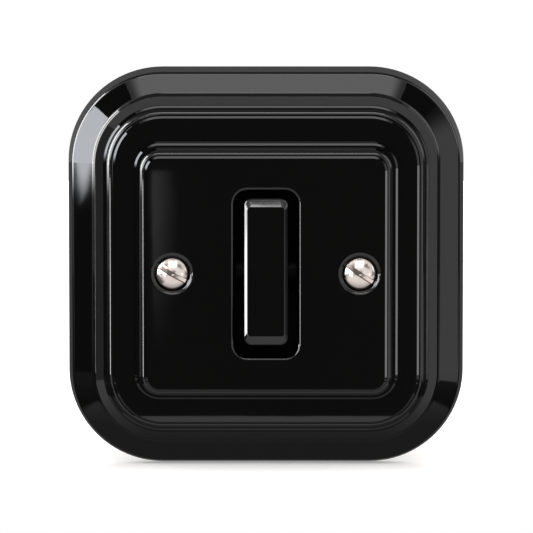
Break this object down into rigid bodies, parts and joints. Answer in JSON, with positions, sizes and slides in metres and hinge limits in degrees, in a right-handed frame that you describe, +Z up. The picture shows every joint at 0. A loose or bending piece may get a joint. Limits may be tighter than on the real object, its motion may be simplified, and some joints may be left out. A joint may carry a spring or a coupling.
{
  "type": "porcelain light switch",
  "caption": "Flush rocker light switch with a stepped square frame, cover plate and rocker in glazed black porcelain, nickel cover screws and a see-saw contact mechanism on a steel strap.",
  "frame": {"origin": "centre of the box screws on the strap's back, in the plane of the wall, behind the centre of the frame", "axes": "+Z up the wall, +X to the right as the switch is faced, +Y into the wall, so the front faces -Y"},
  "size_m": [0.09, 0.0377, 0.091],
  "materials": {
    "black_porcelain": "polished",
    "nickel_plate": "polished",
    "zinc_steel": "satin",
    "turned_brass": "gloss",
    "rolled_brass": "satin",
    "steatite": "matte",
    "black_phenolic": "satin",
    "nylon": "satin",
    "contact_silver": "satin"
  },
  "bodies": {
    "housing": {"outer_frame": "black_porcelain", "cover_plate": "black_porcelain", "cover_screws": "nickel_plate", "mounting_strap": "zinc_steel", "cover_bushes": "turned_brass", "mechanism_base": "steatite", "strap_screws": "zinc_steel", "bearing_lid": "black_phenolic", "lid_screws": "zinc_steel", "pivot_pin": "zinc_steel", "common_terminal": "rolled_brass", "upper_terminal": "rolled_brass", "lower_terminal": "rolled_brass", "fixed_contacts": "contact_silver", "terminal_clamps": "rolled_brass", "terminal_screws": "turned_brass"},
    "rocker_body": {"rocker": "black_porcelain", "rocker_cradle": "black_phenolic", "plunger_spring": "zinc_steel"},
    "plunger_body": {"plunger": "nylon"},
    "seesaw_body": {"seesaw_contact": "rolled_brass", "moving_contacts": "contact_silver"}
  },
  "joints": [
    {"name": "rocker_hinge", "type": "hinge", "parent": "housing", "child": "rocker_body", "pos_m": [0, -0.0084, 0], "axis": [1, 0, 0], "range_deg": [0, 10]},
    {"name": "seesaw_hinge", "type": "hinge", "parent": "housing", "child": "seesaw_body", "pos_m": [0, 0.00586, 0], "axis": [1, 0, 0], "range_deg": [-16, 0]},
    {"name": "plunger_slide", "type": "slide", "parent": "rocker_body", "child": "plunger_body", "axis": [0, -0.9962, 0.0872], "range_m": [0, 0.0006], "stiffness_N_per_m": 400, "deforming": ["plunger_spring"]}
  ],
  "couplings": [
    {"joint": "seesaw_hinge", "follows": "rocker_hinge", "ratio": -1.5999}
  ]
}
